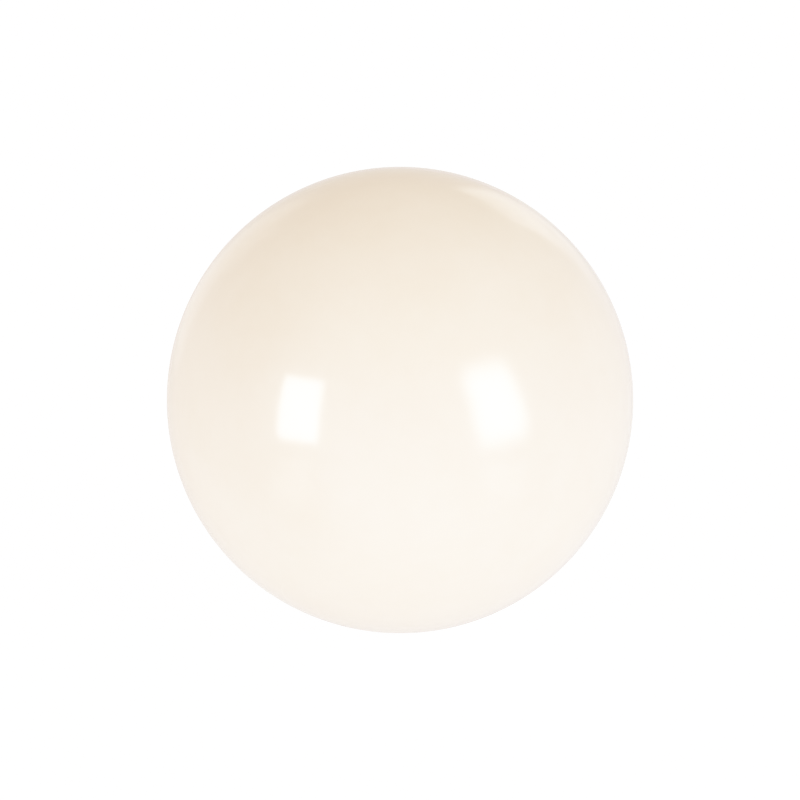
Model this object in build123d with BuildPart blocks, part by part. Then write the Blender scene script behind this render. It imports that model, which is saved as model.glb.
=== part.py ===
from build123d import *

import os

# Cue ball for American pool.
#
# The real ball is one solid casting of filled phenolic resin, ground round and polished
# all over. It has no core, insert, seam, hole or flat, so the whole object is one piece.
#
# The frame's origin is the ball's centre, with +Z up from the cloth that the ball rests
# on. Lengths are in millimetres, and the mass is in grams.

# Driving values
ball_diameter = 57.15  # 2 1/4 in, the size that the rules of pool set
resin_density = 0.00174  # g per cubic millimetre, which puts the ball at 6 oz

ball_radius = ball_diameter / 2


# The ball is a half disc turned about its straight side. The meridian is the half
# circle from the bottom pole, where the ball meets the cloth, up to the top pole.
with BuildPart() as cue_ball:
    with BuildSketch(Plane.XZ):
        with BuildLine():
            meridian = CenterArc(
                center=(0, 0), radius=ball_radius, start_angle=-90, arc_size=180
            )
            Line(meridian @ 1, meridian @ 0)
        make_face()
    revolve(axis=Axis.Z)

cue_ball.part.label = "cue_ball"


os.makedirs("parts", exist_ok=True)
export_step(cue_ball.part, "parts/cue_ball.step")

ball_mass = cue_ball.part.volume * resin_density
print(f"cue_ball: diameter {ball_diameter} mm, mass {ball_mass:.1f} g")
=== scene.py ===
# %% [markdown]
# # A pool cue ball
#
# A cue ball is the plainest thing on a billiard table: one solid casting of ivory-white
# phenolic resin, ground round and polished until it shines. It has no seam, hole, insert or
# mark, so all of its looks come from three things: a truly round surface, a resin that is
# not quite one colour and not quite evenly polished, and the lights that it mirrors.
#
# This notebook makes those three in turn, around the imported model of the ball.

import math

import bpy
import numpy as np
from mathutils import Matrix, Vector


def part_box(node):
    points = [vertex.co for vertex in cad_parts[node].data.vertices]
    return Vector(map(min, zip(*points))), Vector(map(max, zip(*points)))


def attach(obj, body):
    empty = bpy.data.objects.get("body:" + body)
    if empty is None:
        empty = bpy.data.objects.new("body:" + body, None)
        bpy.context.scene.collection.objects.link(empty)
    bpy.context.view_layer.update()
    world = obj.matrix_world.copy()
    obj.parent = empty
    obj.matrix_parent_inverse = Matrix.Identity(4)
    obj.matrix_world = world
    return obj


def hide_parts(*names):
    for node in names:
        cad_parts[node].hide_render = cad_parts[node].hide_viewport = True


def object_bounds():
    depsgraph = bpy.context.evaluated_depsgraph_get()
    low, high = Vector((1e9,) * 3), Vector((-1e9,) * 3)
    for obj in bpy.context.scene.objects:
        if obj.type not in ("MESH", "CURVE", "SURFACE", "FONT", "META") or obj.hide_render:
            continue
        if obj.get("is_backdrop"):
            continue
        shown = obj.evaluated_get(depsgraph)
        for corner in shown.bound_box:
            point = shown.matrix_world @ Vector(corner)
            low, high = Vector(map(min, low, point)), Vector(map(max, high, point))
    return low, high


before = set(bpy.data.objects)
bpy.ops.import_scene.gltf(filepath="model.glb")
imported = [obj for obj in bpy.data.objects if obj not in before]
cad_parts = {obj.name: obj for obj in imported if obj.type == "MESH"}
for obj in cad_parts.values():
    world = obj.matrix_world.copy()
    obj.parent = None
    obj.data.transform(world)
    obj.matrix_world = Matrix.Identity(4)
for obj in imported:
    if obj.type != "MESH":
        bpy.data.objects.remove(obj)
cad_low, cad_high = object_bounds()

ball_low, ball_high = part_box("cue_ball")
ball_radius = (ball_high.z - ball_low.z) / 2
ball_centre = (ball_low + ball_high) / 2
print(f"cue ball: radius {ball_radius * 1000:.3f} mm, standing at z = {ball_low.z * 1000:.3f} mm")

# %% [markdown]
# ## The camera
#
# A ball looks round from everywhere, but only a long lens shows nearly half of it. A wide
# lens close by sees a smaller cap and crowds the reflections towards the edge. So this is a
# 150 mm lens, standing back until the ball fills a little over half of the frame's width. It
# looks down a little, as a person does at a ball on a table.
#
# A sight line that grazes the ball, the ball's radius and the line to its centre make a
# right triangle, so the distance is the radius divided by the sine of the ball's half angle.

# %% Camera
LENS_MM = 150.0
SENSOR_MM = 36.0
BALL_SHARE_OF_FRAME = 0.5835
CAMERA_PITCH = math.radians(14.0)
NEAREST_SEEN = 0.05  # as a share of the camera's distance

half_frame_slope = SENSOR_MM / 2 / LENS_MM
ball_half_angle = math.atan(BALL_SHARE_OF_FRAME * half_frame_slope)
camera_distance = ball_radius / math.sin(ball_half_angle)
towards_camera = Vector((0.0, -math.cos(CAMERA_PITCH), math.sin(CAMERA_PITCH)))

camera_data = bpy.data.cameras.new("camera")
camera_data.lens = LENS_MM
camera_data.sensor_width = SENSOR_MM
camera_data.clip_start = camera_distance * NEAREST_SEEN
camera = bpy.data.objects.new("camera", camera_data)
camera.location = ball_centre + towards_camera * camera_distance
camera.rotation_euler = towards_camera.to_track_quat("Z", "Y").to_euler()
bpy.context.scene.collection.objects.link(camera)
bpy.context.scene.camera = camera
print(f"camera: {camera_distance * 1000:.0f} mm from the ball's centre")

# %% [markdown]
# ## How the picture answers to light
#
# A pale ball on a white table is a hard exposure. A plain transfer cuts off everything above
# white and leaves flat patches where the cream is brightest. Film doesn't: each colour bends
# gently towards white, so bright cream turns paler before it is lost, and a highlight still
# reads as brighter than the resin around it. Blender's RGB curves can do the same.
#
# The curve is straight up to a knee. Above it, what is missing to white shrinks with a power
# of the light that is missing to the white level, and the power is the one that leaves no
# corner at the knee.

# %% Film curve
WHITE_LEVEL = 1.2
KNEE = 0.7
CURVE_POINTS = 14
ALL_COLOURS = 3  # the curve after those for red, green and blue bends all three alike


def film(light):
    """Brightness on the print for an amount of light, a number or an array: the light itself
    up to the knee, and from there one minus the rest of the range, times the unused share of
    the shoulder to the power that makes the slope at the knee one."""
    shoulder = WHITE_LEVEL - KNEE
    unused = (WHITE_LEVEL - np.maximum(light, KNEE)) / shoulder
    bent = 1.0 - (1.0 - KNEE) * unused ** (shoulder / (1.0 - KNEE))
    return np.where(light < KNEE, light, bent)


view = bpy.context.scene.view_settings
view.view_transform = "Standard"
view.use_curve_mapping = True
mapping = view.curve_mapping
mapping.white_level = (WHITE_LEVEL,) * 3
brightness_curve = mapping.curves[ALL_COLOURS]
for light in np.linspace(0.0, WHITE_LEVEL, CURVE_POINTS)[1:-1]:
    brightness_curve.points.new(light / WHITE_LEVEL, float(film(light)))
mapping.update()
print(f"film: light of 1.0 prints as {float(film(1.0)):.3f}, and {WHITE_LEVEL} as white")

# %% [markdown]
# ## Surfaces from two parameters
#
# Everything here that has a shape is a sheet: a square of two parameters, u and v, that a
# formula carries into space. Numpy works out the whole sheet at once, and the faces are the
# small squares between neighbouring grid points. The same u and v serve as the sheet's UV
# map. With u to the right and v up on the outside of a sheet, its faces point outwards.


# %% Sheets
def grid_quads(rows, columns):
    """The corners of every small square of a grid whose points are numbered row by row:
    a point, its right neighbour, the one above that, and the one above the point."""
    number = np.arange(rows * columns).reshape(rows, columns)
    corners = [number[:-1, :-1], number[:-1, 1:], number[1:, 1:], number[1:, :-1]]
    return np.stack(corners, axis=-1).reshape(-1, 4)


def unit_grid(steps):
    """The parameters u and v of a square sheet, each from 0 to 1 in equal steps."""
    return np.meshgrid(np.linspace(0, 1, steps + 1), np.linspace(0, 1, steps + 1), indexing="xy")


def mesh_object(name, points, quads, uv_name, corner_uv):
    """A smooth mesh object at the origin from points, faces and one UV pair a face corner."""
    mesh = bpy.data.meshes.new(name)
    mesh.from_pydata(points.tolist(), [], quads.tolist())
    mesh.uv_layers.new(name=uv_name).data.foreach_set("uv", corner_uv.ravel())
    mesh.polygons.foreach_set("use_smooth", np.ones(len(quads), dtype=bool))
    mesh.update()
    made = bpy.data.objects.new(name, mesh)
    bpy.context.scene.collection.objects.link(made)
    return made


# %% [markdown]
# ## The ball's surface
#
# The real ball leaves a centreless grinder round to a few hundredths of a millimetre and is
# then tumbled and buffed. It mirrors whole lamps, and a mirror shows every facet, so the
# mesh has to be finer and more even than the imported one, which is sized for collision.
#
# A globe of latitude and longitude would crowd its faces at two poles. A cube blown up into
# a ball has no poles: six square patches with almost equal faces. Spacing the grid by equal
# angles, not by equal lengths on the cube's face, evens them out further.

# %% Six patches make a ball
PATCH_STEPS = 64


def cube_patches(steps):
    """Unit vectors of six patches that cover a ball, each a grid of u and v.

    u and v run from -45 to 45 degrees. The tangents of the two angles are a point on a
    cube's face one unit out, and dividing by its distance from the centre puts it on the
    ball. The other five faces are the same patch with its axes exchanged."""
    u, v = unit_grid(steps)
    across = np.tan((u - 0.5) * math.pi / 2)
    up = np.tan((v - 0.5) * math.pi / 2)
    out = np.ones_like(u)
    faces = [
        (across, -out, up),
        (out, across, up),
        (-across, out, up),
        (-out, -across, up),
        (across, up, out),
        (across, -up, -out),
    ]
    points = np.stack([np.stack(face, axis=-1) for face in faces])
    return points / np.linalg.norm(points, axis=-1, keepdims=True)


patches = cube_patches(PATCH_STEPS)
patch_points = (PATCH_STEPS + 1) ** 2
print(f"patches: {len(patches)}, each of {PATCH_STEPS} x {PATCH_STEPS} faces")

# %% [markdown]
# The patches meet edge to edge, but each brings its own copy of the shared points. Merging
# the copies closes the seams, and the shading then runs across them without a line. The UV
# map lays the six patches out in two rows of three, with a margin around each, so that a
# texture baked for it wastes little room and bleeds into no neighbour.

# %% Weld the patches and lay out their map
WELD_TOLERANCE = 1e-5
MAP_COLUMNS = 3
MAP_ROWS = 2
MAP_MARGIN = 0.02


def weld(points, quads, tolerance):
    """Merges points that fall in the same cell of a grid as fine as the tolerance, and
    renumbers the faces. Returns the kept points and the new faces."""
    cells = np.round(points / tolerance).astype(np.int64)
    _, kept, new_number = np.unique(cells, axis=0, return_index=True, return_inverse=True)
    return points[kept], new_number.ravel()[quads]


def patch_map(steps, patch):
    """The UV grid of one patch: its unit square less the margin, moved to the patch's column
    and row and shrunk by the number of columns and rows."""
    u, v = unit_grid(steps)
    row, column = divmod(patch, MAP_COLUMNS)
    inside = 1 - 2 * MAP_MARGIN
    map_u = (column + MAP_MARGIN + inside * u) / MAP_COLUMNS
    map_v = (row + MAP_MARGIN + inside * v) / MAP_ROWS
    return np.stack([map_u, map_v], axis=-1).reshape(-1, 2)


one_patch = grid_quads(PATCH_STEPS + 1, PATCH_STEPS + 1)
all_quads = np.concatenate([one_patch + patch * patch_points for patch in range(len(patches))])
all_uv = np.concatenate([patch_map(PATCH_STEPS, patch) for patch in range(len(patches))])
directions, ball_quads = weld(patches.reshape(-1, 3), all_quads, WELD_TOLERANCE)
ball_points = np.array(ball_centre) + ball_radius * directions

ball = mesh_object("cue_ball_surface", ball_points, ball_quads, "OFBake", all_uv[all_quads])

# %% [markdown]
# A check costs little here. On a closed surface every edge has exactly two faces, and with
# four-cornered faces that makes twice as many edges as faces. On an outward one, the normal
# of every face leans the same way as the line from the centre to it.

# %% Check the ball
normals = np.array([face.normal for face in ball.data.polygons])
centres = np.array([face.center for face in ball.data.polygons]) - np.array(ball_centre)
outward = int((np.sum(normals * centres, axis=1) > 0).sum())
closed = len(ball.data.edges) == 2 * len(ball.data.polygons)
print(f"ball: {len(ball.data.polygons)} faces, {outward} of them outward, closed: {closed}")

# %% [markdown]
# ## Small helpers for nodes
#
# A material is a graph, and a graph is long to write out. These helpers add one node each
# and wire it up, so that the cells below read as formulas. An input takes either a plain
# value or the output of another node.


# %% Node helpers
def add(tree, kind, **settings):
    """A new shader node of a kind, with its settings, such as operation="ADD"."""
    made = tree.nodes.new("ShaderNode" + kind)
    for setting, value in settings.items():
        setattr(made, setting, value)
    return made


def feed(tree, socket, source):
    """Gives an input another node's output, or a plain value."""
    if isinstance(source, bpy.types.NodeSocket):
        tree.links.new(source, socket)
    else:
        socket.default_value = source


def maths(tree, operation, first, second):
    """One sum of two numbers, such as ADD or MULTIPLY."""
    made = add(tree, "Math", operation=operation)
    feed(tree, made.inputs[0], first)
    feed(tree, made.inputs[1], second)
    return made.outputs["Value"]


def vectors(tree, operation, first, second):
    """One sum of two vectors, such as ADD or SUBTRACT."""
    made = add(tree, "VectorMath", operation=operation)
    feed(tree, made.inputs[0], first)
    feed(tree, made.inputs[1], second)
    return made.outputs["Vector"]


def remap(tree, value, old, new, kind="LINEAR"):
    """Carries a value from the old range to the new one, and clamps it there."""
    made = add(tree, "MapRange", interpolation_type=kind)
    feed(tree, made.inputs["Value"], value)
    feed(tree, made.inputs["From Min"], old[0])
    feed(tree, made.inputs["From Max"], old[1])
    feed(tree, made.inputs["To Min"], new[0])
    feed(tree, made.inputs["To Max"], new[1])
    return made.outputs["Result"]


def mix(tree, share, first, second):
    """A colour that is the first where the share is 0 and the second where it is 1. The Mix
    node keeps one set of sockets for each kind of data, and these numbers are its colours."""
    made = add(tree, "Mix", data_type="RGBA")
    feed(tree, made.inputs[0], share)
    feed(tree, made.inputs[6], first)
    feed(tree, made.inputs[7], second)
    return made.outputs[2]


def rgb(red, green, blue):
    """A colour as Blender wants it, with full alpha."""
    return (red, green, blue, 1.0)


def new_material(name):
    """An empty material. Returns it with its node tree."""
    material = bpy.data.materials.new(name)
    material.use_nodes = True
    material.node_tree.nodes.clear()
    return material, material.node_tree


# %% [markdown]
# ## Two effects for polished plastic
#
# Cast and polished plastics share two faults that keep them from looking like paint. The
# first is cloud: fillers settle unevenly in the mould, and the buffing wheel presses
# unevenly, so colour and gloss drift by a percent or two over a few millimetres. Noise in
# space gives that without a seam, because it doesn't need the surface to be unrolled.
#
# Both effects are node groups. They are built once, and each material places them with its
# own sizes.


# %% Group: cloud
CLOUD_DETAIL = 3.0
MIDDLE = 0.5  # noise is spread about one half


def new_group(name, inputs, outputs):
    """An empty node group with named sockets. Returns its tree, entry and exit."""
    tree = bpy.data.node_groups.new(name, "ShaderNodeTree")
    for socket, kind in inputs.items():
        tree.interface.new_socket(name=socket, in_out="INPUT", socket_type="NodeSocket" + kind)
    for socket, kind in outputs.items():
        tree.interface.new_socket(name=socket, in_out="OUTPUT", socket_type="NodeSocket" + kind)
    entry = tree.nodes.new("NodeGroupInput")
    exit_ = tree.nodes.new("NodeGroupOutput")
    return tree, entry.outputs, exit_.inputs


def build_cloud():
    """Noise with features of the given size, spread about one half by the contrast."""
    tree, entry, exit_ = new_group(
        "cloud",
        {"Vector": "Vector", "Size": "Float", "Contrast": "Float"},
        {"Cloud": "Float"},
    )
    noise = add(tree, "TexNoise")
    noise.inputs["Detail"].default_value = CLOUD_DETAIL
    feed(tree, noise.inputs["Vector"], entry["Vector"])
    feed(tree, noise.inputs["Scale"], maths(tree, "DIVIDE", 1.0, entry["Size"]))
    away = maths(tree, "SUBTRACT", noise.outputs[0], MIDDLE)
    spread = maths(tree, "ADD", maths(tree, "MULTIPLY", away, entry["Contrast"]), MIDDLE)
    feed(tree, exit_["Cloud"], remap(tree, spread, (0.0, 1.0), (0.0, 1.0)))
    return tree


cloud_group = build_cloud()
print("group:", cloud_group.name)

# %% [markdown]
# The second is hairlines. Grit on the cloth and other balls draw long, faint, curved
# scratches into the polish. They could be drawn one by one, but a cell pattern gives them
# for nothing: the walls between the cells of a Voronoi pattern in space cut the ball in
# arcs. Bending space a little first takes away the straight-edged look, and a cloud with a
# threshold rubs out all but a share of them, so no cell is ever closed.


# %% Group: hairlines
SWIRLS_PER_SPACING = 0.5
PATCH_CONTRAST = 2.0
PATCH_EDGE = 0.2


def place_cloud(tree, vector, size, contrast):
    """The cloud group in a tree, with features of a size in metres."""
    placed = add(tree, "Group", node_tree=cloud_group)
    feed(tree, placed.inputs["Vector"], vector)
    feed(tree, placed.inputs["Size"], size)
    feed(tree, placed.inputs["Contrast"], contrast)
    return placed.outputs["Cloud"]


def build_hairlines():
    """A mask that is 1 along scratches of a width, a spacing apart, over a share of them."""
    tree, entry, exit_ = new_group(
        "hairlines",
        {"Vector": "Vector", "Spacing": "Float", "Width": "Float", "Share": "Float"},
        {"Mask": "Float"},
    )
    per_metre = maths(tree, "DIVIDE", 1.0, entry["Spacing"])
    swirl = add(tree, "TexNoise")
    feed(tree, swirl.inputs["Vector"], entry["Vector"])
    feed(tree, swirl.inputs["Scale"], maths(tree, "MULTIPLY", per_metre, SWIRLS_PER_SPACING))
    push = add(tree, "VectorMath", operation="SCALE")
    feed(tree, push.inputs[0], vectors(tree, "SUBTRACT", swirl.outputs["Color"], (MIDDLE,) * 3))
    feed(tree, push.inputs["Scale"], entry["Spacing"])
    bent = vectors(tree, "ADD", entry["Vector"], push.outputs["Vector"])

    cells = add(tree, "TexVoronoi", feature="DISTANCE_TO_EDGE")
    feed(tree, cells.inputs["Vector"], bent)
    feed(tree, cells.inputs["Scale"], per_metre)
    metres = maths(tree, "MULTIPLY", cells.outputs["Distance"], entry["Spacing"])
    half_width = maths(tree, "DIVIDE", entry["Width"], 2.0)
    line = remap(tree, metres, (0.0, half_width), (1.0, 0.0), "SMOOTHSTEP")

    patchy = place_cloud(tree, entry["Vector"], entry["Spacing"], PATCH_CONTRAST)
    edge = maths(tree, "SUBTRACT", 1.0, entry["Share"])
    soft_edge = maths(tree, "ADD", edge, PATCH_EDGE)
    kept = remap(tree, patchy, (edge, soft_edge), (0.0, 1.0), "SMOOTHSTEP")
    feed(tree, exit_["Mask"], maths(tree, "MULTIPLY", line, kept))
    return tree


def place_hairlines(tree, vector, spacing, width, share):
    """The hairlines group in a tree, with its sizes in metres."""
    placed = add(tree, "Group", node_tree=hairlines_group)
    feed(tree, placed.inputs["Vector"], vector)
    feed(tree, placed.inputs["Spacing"], spacing)
    feed(tree, placed.inputs["Width"], width)
    feed(tree, placed.inputs["Share"], share)
    return placed.outputs["Mask"]


hairlines_group = build_hairlines()
print("group:", hairlines_group.name)

# %% [markdown]
# ## Ivory resin
#
# The resin is cream rather than white, a little paler where the filler is dense and a little
# warmer where it is thin. Phenolic bends light more than most plastics, with an index near
# 1.65, and so it mirrors about six percent of what it faces, half as much again as acrylic.
# In the real ball light also sinks in by a fraction of a millimetre before it comes back.
# That is left out, because on a pale ball in light this even it changes nothing that shows.
#
# The polish is high but used: a soft haze in slow patches, two families of hairlines in it,
# and a ripple of a few thousandths of a millimetre left by the buffing wheel, which bends
# the edges of the mirrored lamps very slightly.

# %% Resin: colour
PALE_IVORY = rgb(0.836, 0.758, 0.668)
WARM_IVORY = rgb(0.802, 0.710, 0.606)
CLOUD_SIZE = 0.012
CLOUD_CONTRAST = 1.6
MOTTLE_SIZE = 0.0022
MOTTLE_CONTRAST = 1.2
MOTTLE_SHARE = 0.3

resin, tree = new_material("polished_ivory")
place = add(tree, "TexCoord").outputs["Object"]
slow_cloud = place_cloud(tree, place, CLOUD_SIZE, CLOUD_CONTRAST)
fine_mottle = place_cloud(tree, place, MOTTLE_SIZE, MOTTLE_CONTRAST)
slow_part = maths(tree, "MULTIPLY", slow_cloud, 1.0 - MOTTLE_SHARE)
fine_part = maths(tree, "MULTIPLY", fine_mottle, MOTTLE_SHARE)
warmth = maths(tree, "ADD", slow_part, fine_part)
resin_colour = mix(tree, warmth, PALE_IVORY, WARM_IVORY)
print("resin colour: clouds of", CLOUD_SIZE * 1000, "mm, mottle of", MOTTLE_SIZE * 1000, "mm")

# %% Resin: polish
POLISH = (0.10, 0.16)
HAZE_SIZE = 0.006
HAZE_CONTRAST = 1.8
HAIRLINE_ROUGHNESS = 0.12
LONG_HAIRLINES = {"spacing": 0.016, "width": 0.0004, "share": 0.45}
SHORT_HAIRLINES = {"spacing": 0.007, "width": 0.0003, "share": 0.35}
SHORT_HAIRLINES_TURN = (0.7, 0.4, 1.1)  # radians, so that they don't follow the long ones
SHORT_HAIRLINES_DEPTH = 0.6

haze = remap(tree, place_cloud(tree, place, HAZE_SIZE, HAZE_CONTRAST), (0.0, 1.0), POLISH)
turned = add(tree, "VectorRotate", rotation_type="EULER_XYZ")
feed(tree, turned.inputs["Vector"], place)
feed(tree, turned.inputs["Rotation"], SHORT_HAIRLINES_TURN)
long_lines = place_hairlines(tree, place, **LONG_HAIRLINES)
short_lines = place_hairlines(tree, turned.outputs["Vector"], **SHORT_HAIRLINES)
shallow_lines = maths(tree, "MULTIPLY", short_lines, SHORT_HAIRLINES_DEPTH)
scratches = maths(tree, "MAXIMUM", long_lines, shallow_lines)
scratch_gloss = maths(tree, "MULTIPLY", scratches, HAIRLINE_ROUGHNESS)
resin_roughness = maths(tree, "ADD", haze, scratch_gloss)
print("resin polish: roughness", POLISH, "and up to", HAIRLINE_ROUGHNESS, "more in a hairline")

# %% Resin: relief and shader
RIPPLE_SIZE = 0.005
RIPPLE_CONTRAST = 1.0
RELIEF_DEPTH = 1.0e-5
SCRATCH_SHARE_OF_DEPTH = 0.15
RESIN_INDEX = 1.65

ripple = place_cloud(tree, place, RIPPLE_SIZE, RIPPLE_CONTRAST)
cut = maths(tree, "MULTIPLY", scratches, SCRATCH_SHARE_OF_DEPTH)
relief = add(tree, "Bump")
relief.inputs["Distance"].default_value = RELIEF_DEPTH
feed(tree, relief.inputs["Height"], maths(tree, "SUBTRACT", ripple, cut))

shader = add(tree, "BsdfPrincipled")
feed(tree, shader.inputs["Base Color"], resin_colour)
feed(tree, shader.inputs["Roughness"], resin_roughness)
feed(tree, shader.inputs["Normal"], relief.outputs["Normal"])
shader.inputs["IOR"].default_value = RESIN_INDEX
feed(tree, add(tree, "OutputMaterial").inputs["Surface"], shader.outputs["BSDF"])
ball.data.materials.append(resin)
print("resin:", len(tree.nodes), "nodes")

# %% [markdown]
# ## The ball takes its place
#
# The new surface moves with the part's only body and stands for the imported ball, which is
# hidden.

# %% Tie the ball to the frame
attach(ball, "root")
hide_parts("cue_ball")

# %% [markdown]
# ## The table
#
# The ball rests on opal acrylic that is lit from below, as a product table is. The glow
# fills the ball's lower half and leaves only a breath of shadow where the two touch. The
# acrylic is matt and given no mirror of its own, because a glancing shine would brighten the
# far table into a line against the wall. It also stays out of what the ball mirrors: there
# the room goes on below the table's level, as if the table were small.
#
# Only the middle of the table is lit from below, in a strip that runs away from the camera.
# Round it the sheet is plain pale acrylic, so that a ball seen from behind, with a lamp
# mirrored in its very edge, still stands out from what is behind it.

# %% Table sheet
TABLE_HALF_WIDTH = 4.0

u, v = unit_grid(1)
level = np.full_like(u, ball_low.z)
table_points = np.stack(
    [(2 * u - 1) * TABLE_HALF_WIDTH, (2 * v - 1) * TABLE_HALF_WIDTH, level], axis=-1
).reshape(-1, 3)
table_quads = grid_quads(2, 2)
table_uv = np.stack([u, v], axis=-1).reshape(-1, 2)
table = mesh_object("table", table_points, table_quads, "sheet", table_uv[table_quads])
table.visible_glossy = False
table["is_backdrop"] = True
print(f"table: at z = {ball_low.z * 1000:.3f} mm")

# %% Table material
LIT_GLOW = rgb(1.08, 1.08, 1.08)
UNLIT_GLOW = rgb(0.75, 0.75, 0.75)
PALE_SHADE = rgb(0.15, 0.15, 0.15)
DARK_SHADE = rgb(0.13, 0.13, 0.13)
TABLE_CLOUD_SIZE = 0.05
TABLE_CLOUD_CONTRAST = 1.0
TABLE_HAIRLINES = {"spacing": 0.05, "width": 0.0005, "share": 0.3}
SATIN = (0.45, 0.6)
STRIP_HALF_WIDTH = (0.13, 0.4)  # metres: lit up to the first, unlit from the second
STRIP_FRONT = (-0.17, -0.066)
STRIP_BACK = (0.65, 1.2)

acrylic, tree = new_material("opal_acrylic")
place = add(tree, "TexCoord").outputs["Object"]
table_cloud = place_cloud(tree, place, TABLE_CLOUD_SIZE, TABLE_CLOUD_CONTRAST)
table_lines = place_hairlines(tree, place, **TABLE_HAIRLINES)
satin = remap(tree, maths(tree, "MAXIMUM", table_cloud, table_lines), (0.0, 1.0), SATIN)

parts = add(tree, "SeparateXYZ")
feed(tree, parts.inputs["Vector"], place)
sideways = maths(tree, "ABSOLUTE", parts.outputs["X"], 0.0)
inside = remap(tree, sideways, STRIP_HALF_WIDTH, (1.0, 0.0), "SMOOTHSTEP")
after_front = remap(tree, parts.outputs["Y"], STRIP_FRONT, (0.0, 1.0), "SMOOTHSTEP")
before_back = remap(tree, parts.outputs["Y"], STRIP_BACK, (1.0, 0.0), "SMOOTHSTEP")
lit = maths(tree, "MULTIPLY", inside, maths(tree, "MULTIPLY", after_front, before_back))

shader = add(tree, "BsdfPrincipled")
feed(tree, shader.inputs["Base Color"], mix(tree, table_cloud, PALE_SHADE, DARK_SHADE))
feed(tree, shader.inputs["Roughness"], satin)
feed(tree, shader.inputs["Emission Color"], mix(tree, lit, UNLIT_GLOW, LIT_GLOW))
shader.inputs["Emission Strength"].default_value = 1.0
shader.inputs["Specular IOR Level"].default_value = 0.0
feed(tree, add(tree, "OutputMaterial").inputs["Surface"], shader.outputs["BSDF"])
table.data.materials.append(acrylic)
print("table: lit strip", 2 * STRIP_HALF_WIDTH[0], "m wide")

# %% [markdown]
# ## The room
#
# A polished ball mirrors the whole room in its last few degrees of edge, so the room shapes
# its outline. This one is a background that four colours describe: low and high, and on the
# bright side and the dark side of the room. The bright side is behind the camera, a little
# to the right. Between the four, the light blends evenly.
#
# Only the ball sees that room. The camera sees a plain pale wall behind the table, as
# bright as the table's own unlit part, so that no horizon shows.

# %% Room
BRIGHT_SIDE_AZIMUTH = 33.0
LOW_DARK_SIDE = rgb(0.90, 0.85, 0.83)
LOW_BRIGHT_SIDE = rgb(0.90, 0.98, 1.14)
HIGH_DARK_SIDE = rgb(0.76, 0.66, 0.55)
HIGH_BRIGHT_SIDE = rgb(1.00, 0.96, 0.88)
HIGH_FROM = 0.7
PALE_WALL = 0.86


def direction_of(azimuth, elevation):
    """The unit vector for an azimuth in degrees, 0 towards the camera and growing to its
    right, and an elevation in degrees above the level."""
    around, above = math.radians(azimuth), math.radians(elevation)
    level = math.cos(above)
    return np.array([math.sin(around) * level, -math.cos(around) * level, math.sin(above)])


world = bpy.data.worlds.new("room")
world.use_nodes = True
tree = world.node_tree
tree.nodes.clear()
look = add(tree, "TexCoord").outputs["Generated"]
facing = add(tree, "VectorMath", operation="DOT_PRODUCT")
feed(tree, facing.inputs[0], look)
feed(tree, facing.inputs[1], tuple(direction_of(BRIGHT_SIDE_AZIMUTH, 0.0)))
side = remap(tree, facing.outputs["Value"], (-1.0, 1.0), (0.0, 1.0))
upward = add(tree, "SeparateXYZ")
feed(tree, upward.inputs["Vector"], look)
height = remap(tree, upward.outputs["Z"], (0.0, HIGH_FROM), (0.0, 1.0), "SMOOTHSTEP")
low_light = mix(tree, side, LOW_DARK_SIDE, LOW_BRIGHT_SIDE)
high_light = mix(tree, side, HIGH_DARK_SIDE, HIGH_BRIGHT_SIDE)
room_light = add(tree, "Background")
feed(tree, room_light.inputs["Color"], mix(tree, height, low_light, high_light))
backdrop = add(tree, "Background")
backdrop.inputs["Color"].default_value = rgb(1.0, 1.0, 1.0)
backdrop.inputs["Strength"].default_value = PALE_WALL
chosen = add(tree, "MixShader")
feed(tree, chosen.inputs[0], add(tree, "LightPath").outputs["Is Camera Ray"])
feed(tree, chosen.inputs[1], room_light.outputs["Background"])
feed(tree, chosen.inputs[2], backdrop.outputs["Background"])
feed(tree, add(tree, "OutputWorld").inputs["Surface"], chosen.outputs["Shader"])
bpy.context.scene.world = world
print("room: bright side at azimuth", BRIGHT_SIDE_AZIMUTH, "degrees")

# %% [markdown]
# ## Softboxes and cards
#
# What a polished ball shows first is its lamps. Two upright softboxes stand left and right
# of the camera, and their mirror images are the two bright windows on the ball. Below each
# hangs a dim card, and behind the ball pale cards catch the light and draw bright patches
# along its upper edge. The one on the right is brighter at its top, and so a second card
# lies over its upper half.
#
# An area lamp is always an even rectangle that faces one way. A glowing sheet may lean, and
# may dim towards its edges as real cloth does, so each lamp is a sheet. Its four corners are
# given as the ball sees them, by azimuth and elevation, and the sheet between them is the
# weighted mean of the corners.

# %% Sheets of light
LAMP_DISTANCE = 1.0
SHEET_STEPS = 8


def corner_sheet(corners, distance, steps):
    """The grid of a four-cornered sheet. The corners are directions, in the order upper
    left, upper right, lower right, lower left, all at one distance. A point is the mean of
    its place on the lower and on the upper edge, weighted by v, and those by u."""
    upper_left, upper_right, lower_right, lower_left = (
        distance * direction_of(*corner) for corner in corners
    )
    u, v = (part[..., None] for part in unit_grid(steps))
    upper = (1 - u) * upper_left + u * upper_right
    lower = (1 - u) * lower_left + u * lower_right
    return ((1 - v) * lower + v * upper).reshape(-1, 3)


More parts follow.
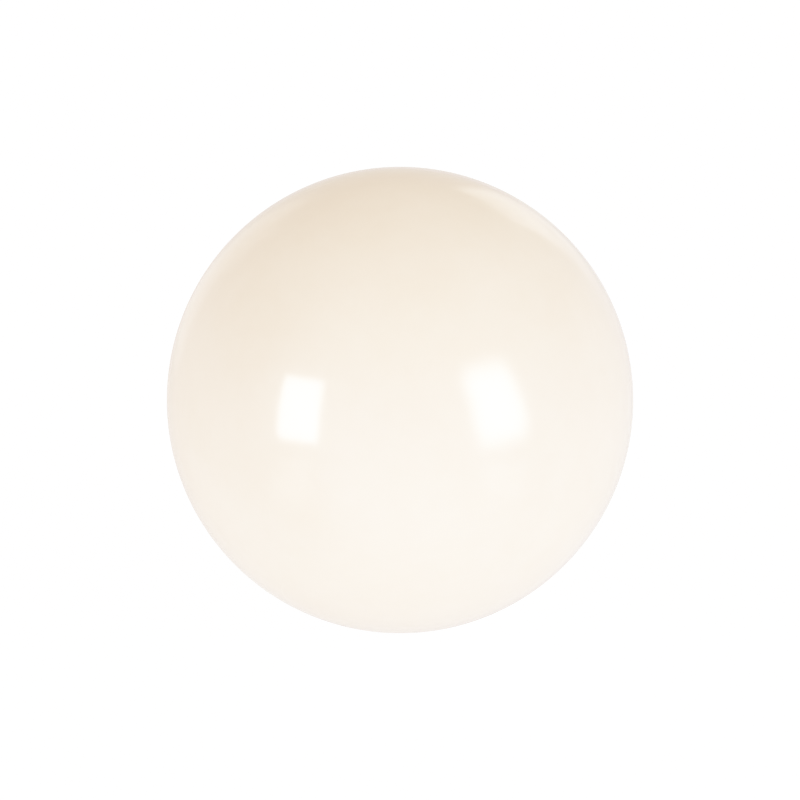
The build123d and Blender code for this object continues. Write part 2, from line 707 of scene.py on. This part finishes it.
def glowing_cloth(name, brightness, soft_edge, tint):
    """Light that is even in the middle of a sheet and fades out smoothly over its edge: the
    product of two ramps, one across the sheet and one up it. It is added to the room's own
    light, which shines through, because a solid sheet would fade to a black edge."""
    cloth, tree = new_material(name)
    place = add(tree, "UVMap", uv_map="sheet").outputs["UV"]
    parts = add(tree, "SeparateXYZ")
    feed(tree, parts.inputs["Vector"], vectors(tree, "SUBTRACT", place, (0.5, 0.5, 0.0)))
    strength = brightness
    for axis in ("X", "Y"):
        away = maths(tree, "ABSOLUTE", parts.outputs[axis], 0.0)
        fade = (0.5 - soft_edge / 2, 0.5)
        ramp = remap(tree, away, fade, (1.0, 0.0), "SMOOTHSTEP")
        strength = maths(tree, "MULTIPLY", ramp, strength)
    glow = add(tree, "Emission")
    glow.inputs["Color"].default_value = tint
    feed(tree, glow.inputs["Strength"], strength)
    both = add(tree, "AddShader")
    feed(tree, both.inputs[0], glow.outputs["Emission"])
    feed(tree, both.inputs[1], add(tree, "BsdfTransparent").outputs["BSDF"])
    feed(tree, add(tree, "OutputMaterial").inputs["Surface"], both.outputs["Shader"])
    return cloth


def hang_light(name, corners, brightness, soft_edge, tint):
    """Hangs one glowing sheet, which lights the ball and isn't seen by the camera."""
    quads = grid_quads(SHEET_STEPS + 1, SHEET_STEPS + 1)
    place = np.stack(unit_grid(SHEET_STEPS), axis=-1).reshape(-1, 2)
    points = corner_sheet(corners, LAMP_DISTANCE, SHEET_STEPS)
    sheet = mesh_object(name, points, quads, "sheet", place[quads])
    sheet.data.materials.append(glowing_cloth(name, brightness, soft_edge, tint))
    sheet.visible_camera = False
    sheet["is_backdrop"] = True
    print(f"light: {name}, brightness {brightness}")


# %% Hang the lights
DAYLIGHT = rgb(0.95, 0.985, 1.05)
NEUTRAL = rgb(1.0, 1.0, 1.0)

hang_light("left_softbox", [(-61, 19), (-37, 21), (-38, -10), (-61, -10)], 5.1, 0.25, DAYLIGHT)
hang_light("right_softbox", [(25, 31), (60, 31), (69, -12), (34, -17)], 4.6, 0.65, DAYLIGHT)
hang_light("left_low_card", [(-64, -15), (-41, -14), (-48, -39), (-75, -38)], 0.5, 0.3, NEUTRAL)
hang_light("right_low_card", [(40, -16), (63, -18), (71, -35), (44, -35)], 0.55, 0.3, NEUTRAL)
hang_light("right_back_card", [(169, 33), (146, 36), (148, 2), (169, 2)], 0.22, 0.3, NEUTRAL)
hang_light("right_top_card", [(169, 32), (146, 35), (147, 14), (169, 12)], 0.30, 0.25, NEUTRAL)
hang_light("left_back_card", [(-139, 36), (-165, 30), (-165, -10), (-139, -10)], 0.2, 0.4, NEUTRAL)

# %% [markdown]
# ## Sizes
#
# Blender adds no size of its own, so the box around the new surface has to be the box
# around the imported one. The two boxes are compared, and the largest difference is printed.

# %% Compare the boxes and finish
model_low, model_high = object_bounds()
growth = max(abs(a - b) for a, b in zip((*model_low, *model_high), (*cad_low, *cad_high)))
print(f"boxes differ by at most {growth * 1000:.3f} mm")
